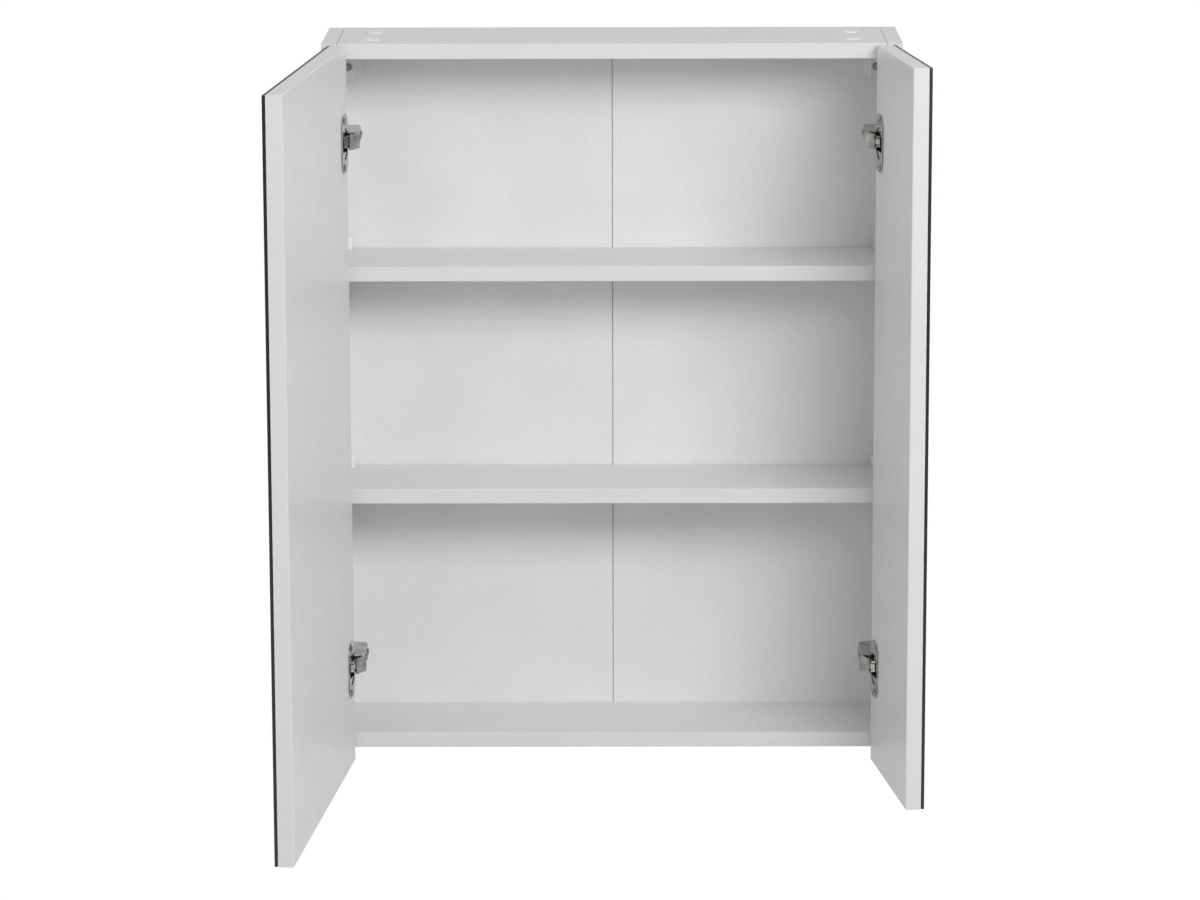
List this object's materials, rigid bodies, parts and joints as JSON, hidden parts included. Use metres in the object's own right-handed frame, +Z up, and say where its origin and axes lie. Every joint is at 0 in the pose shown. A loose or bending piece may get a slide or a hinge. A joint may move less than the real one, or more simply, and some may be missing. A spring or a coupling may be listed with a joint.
{
  "type": "mirrored wall cabinet",
  "caption": "White wall-hung bathroom cabinet with shelves and a wide and a narrow mirrored door standing open on concealed hinges.",
  "frame": {"origin": "on the wall plane, at the middle of the top board's rear edge face", "axes": "+X right seen from the front, +Y out of the back into the wall, +Z up"},
  "size_m": [0.6493, 0.5502, 0.7628],
  "materials": {
    "white_melamine_board": "white melamine-faced chipboard with white edging, satin",
    "white_hardboard": "thin hardboard with a white printed face",
    "seam_tape": "white self-adhesive film tape",
    "mirror_backing": "dark bonding film and backing paint",
    "mirror_glass": "silvered float glass with ground edges",
    "white_plastic": "moulded white plastic, satin",
    "beech": "ribbed beech dowel",
    "zinc_die_cast": "die-cast zinc, dull",
    "nickel_plated_steel": "nickel-plated pressed steel, bright"
  },
  "bodies": {
    "root": {"back_panel_left": "white_hardboard", "back_panel_right": "white_hardboard", "back_seam_tape": "seam_tape", "bottom_panel": "white_melamine_board", "cam_bolts": "nickel_plated_steel", "cam_caps": "white_plastic", "cam_discs": "zinc_die_cast", "dowels": "beech", "hanger_hook_left": "nickel_plated_steel", "hanger_hook_right": "nickel_plated_steel", "hanger_housing_left": "white_plastic", "hanger_housing_right": "white_plastic", "hanger_screws": "nickel_plated_steel", "hinge_arm_left_bottom": "nickel_plated_steel", "hinge_arm_left_top": "nickel_plated_steel", "hinge_arm_pins": "nickel_plated_steel", "hinge_arm_right_bottom": "nickel_plated_steel", "hinge_arm_right_top": "nickel_plated_steel", "hinge_arm_screws": "nickel_plated_steel", "hinge_plate_left_bottom": "nickel_plated_steel", "hinge_plate_left_top": "nickel_plated_steel", "hinge_plate_right_bottom": "nickel_plated_steel", "hinge_plate_right_top": "nickel_plated_steel", "hinge_plate_screws": "nickel_plated_steel", "lower_shelf": "white_melamine_board", "shelf_clips": "white_plastic", "side_panel_left": "white_melamine_board", "side_panel_right": "white_melamine_board", "top_panel": "white_melamine_board", "upper_shelf": "white_melamine_board"},
    "door_left": {"door_panel_left": "white_melamine_board", "hinge_cup_left_bottom": "nickel_plated_steel", "hinge_cup_left_top": "nickel_plated_steel", "hinge_cup_pins_left": "nickel_plated_steel", "hinge_cup_screws_left": "nickel_plated_steel", "mirror_bond_left": "mirror_backing", "mirror_left": "mirror_glass"},
    "outer_links_left": {"hinge_outer_links_left": "nickel_plated_steel"},
    "inner_links_left": {"hinge_inner_links_left": "nickel_plated_steel"},
    "door_right": {"door_panel_right": "white_melamine_board", "hinge_cup_pins_right": "nickel_plated_steel", "hinge_cup_right_bottom": "nickel_plated_steel", "hinge_cup_right_top": "nickel_plated_steel", "hinge_cup_screws_right": "nickel_plated_steel", "mirror_bond_right": "mirror_backing", "mirror_right": "mirror_glass"},
    "outer_links_right": {"hinge_outer_links_right": "nickel_plated_steel"},
    "inner_links_right": {"hinge_inner_links_right": "nickel_plated_steel"}
  },
  "joints": [
    {"name": "outer_links_swing_left", "type": "hinge", "parent": "root", "child": "outer_links_left", "pos_m": [-0.2728, -0.139, -0.367], "axis": [0, 0, -1], "range_deg": [-3.14, 31.52]},
    {"name": "door_swing_left", "type": "hinge", "parent": "outer_links_left", "child": "door_left", "pos_m": [-0.27956, -0.16203, -0.367], "axis": [0, 0, -1], "range_deg": [-127.02, 12.63]},
    {"name": "inner_links_swing_left", "type": "hinge", "parent": "root", "child": "inner_links_left", "pos_m": [-0.2674, -0.1457, -0.367], "axis": [0, 0, -1], "range_deg": [-3.42, 34.38]},
    {"name": "outer_links_swing_right", "type": "hinge", "parent": "root", "child": "outer_links_right", "pos_m": [0.2728, -0.139, -0.367], "axis": [0, 0, 1], "range_deg": [-2.48, 32.18]},
    {"name": "door_swing_right", "type": "hinge", "parent": "outer_links_right", "child": "door_right", "pos_m": [0.27929, -0.16211, -0.367], "axis": [0, 0, 1], "range_deg": [-129.68, 9.97]},
    {"name": "inner_links_swing_right", "type": "hinge", "parent": "root", "child": "inner_links_right", "pos_m": [0.2674, -0.1457, -0.367], "axis": [0, 0, 1], "range_deg": [-2.7, 35.1]}
  ],
  "couplings": [
    {"joint": "outer_links_swing_left", "follows": "door_swing_left", "ratio": -0.24812},
    {"joint": "inner_links_swing_left", "follows": "door_swing_left", "ratio": -0.27068},
    {"joint": "outer_links_swing_right", "follows": "door_swing_right", "ratio": -0.24812},
    {"joint": "inner_links_swing_right", "follows": "door_swing_right", "ratio": -0.27068}
  ]
}
